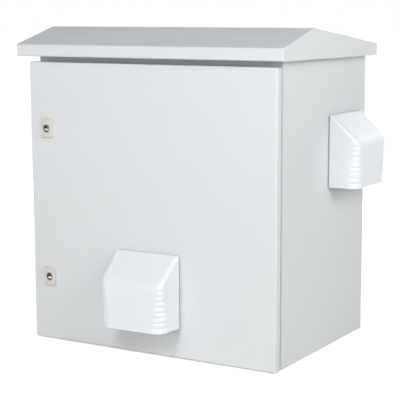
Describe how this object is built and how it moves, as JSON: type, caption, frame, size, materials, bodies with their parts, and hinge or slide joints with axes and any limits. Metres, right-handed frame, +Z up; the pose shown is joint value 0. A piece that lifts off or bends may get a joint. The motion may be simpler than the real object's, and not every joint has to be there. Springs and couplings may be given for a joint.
{
  "type": "roadside utility cabinet",
  "caption": "Sheet-steel outdoor equipment cabinet with a gabled rain roof, one hinged door with quarter-turn locks, and ribbed rain hoods over its air inlet and fan outlet.",
  "frame": {"origin": "centre of the base: middle of the body's width and depth, on the plane that the cabinet stands on", "axes": "+X to the right seen from the front, +Y to the back, +Z up; the door faces -Y"},
  "size_m": [0.686, 0.4995, 0.6794],
  "materials": {
    "light_grey_paint": "fine orange-peel powder coat",
    "hood_plastic": "semi-gloss moulded",
    "lock_plastic": "satin moulded",
    "lock_metal": "nickel-plated die casting",
    "zinc_steel": "zinc-plated sheet",
    "fastener_steel": "zinc-plated fasteners",
    "black_plastic": "moulded, fine texture",
    "foam": "closed-cell foam",
    "filter_fleece": "non-woven fleece"
  },
  "bodies": {
    "cabinet": {"body_wrap": "light_grey_paint", "rear_panel": "light_grey_paint", "roof_canopy": "light_grey_paint", "roof_rib_left": "zinc_steel", "roof_rib_right": "zinc_steel", "roof_bolts": "fastener_steel", "roof_nuts": "fastener_steel", "gland_plate": "zinc_steel", "gland_seal": "foam", "gland_screws": "fastener_steel", "mounting_plate": "zinc_steel", "plate_studs": "fastener_steel", "plate_spacers": "fastener_steel", "plate_nuts": "fastener_steel", "side_hood": "hood_plastic", "side_hood_seal": "foam", "side_hood_screws": "fastener_steel", "outlet_grille": "black_plastic", "outlet_mat": "filter_fleece", "fan_housing": "black_plastic", "fan_guard": "fastener_steel", "fan_screws": "fastener_steel", "hinge_bracket_upper": "zinc_steel", "hinge_bracket_lower": "zinc_steel", "hinge_pin_upper": "fastener_steel", "hinge_pin_lower": "fastener_steel"},
    "door": {"door_panel": "light_grey_paint", "door_seal": "foam", "door_hood": "hood_plastic", "door_hood_seal": "foam", "door_hood_screws": "fastener_steel", "inlet_grille": "black_plastic", "inlet_mat": "filter_fleece", "lock_housing_upper": "lock_plastic", "lock_housing_lower": "lock_plastic", "lock_nut_upper": "fastener_steel", "lock_nut_lower": "fastener_steel", "hinge_leaf_upper": "zinc_steel", "hinge_leaf_lower": "zinc_steel"},
    "upper_lock": {"lock_spindle_upper": "lock_metal", "lock_cam_upper": "zinc_steel", "lock_screw_upper": "fastener_steel"},
    "lower_lock": {"lock_spindle_lower": "lock_metal", "lock_cam_lower": "zinc_steel", "lock_screw_lower": "fastener_steel"},
    "rotor": {"fan_rotor": "black_plastic"}
  },
  "joints": [
    {"name": "door_swing", "type": "hinge", "parent": "cabinet", "child": "door", "pos_m": [0.292, -0.218, 0.30375], "axis": [0, 0, 1], "range_deg": [0, 110]},
    {"name": "upper_lock_turn", "type": "hinge", "parent": "door", "child": "upper_lock", "pos_m": [-0.255, -0.228, 0.4645], "axis": [0, 1, 0], "range_deg": [0, 90]},
    {"name": "lower_lock_turn", "type": "hinge", "parent": "door", "child": "lower_lock", "pos_m": [-0.255, -0.228, 0.1405], "axis": [0, 1, 0], "range_deg": [0, 90]},
    {"name": "fan_spin", "type": "hinge", "parent": "cabinet", "child": "rotor", "pos_m": [0.2525, 0.0875, 0.418], "axis": [1, 0, 0], "continuous": true}
  ]
}
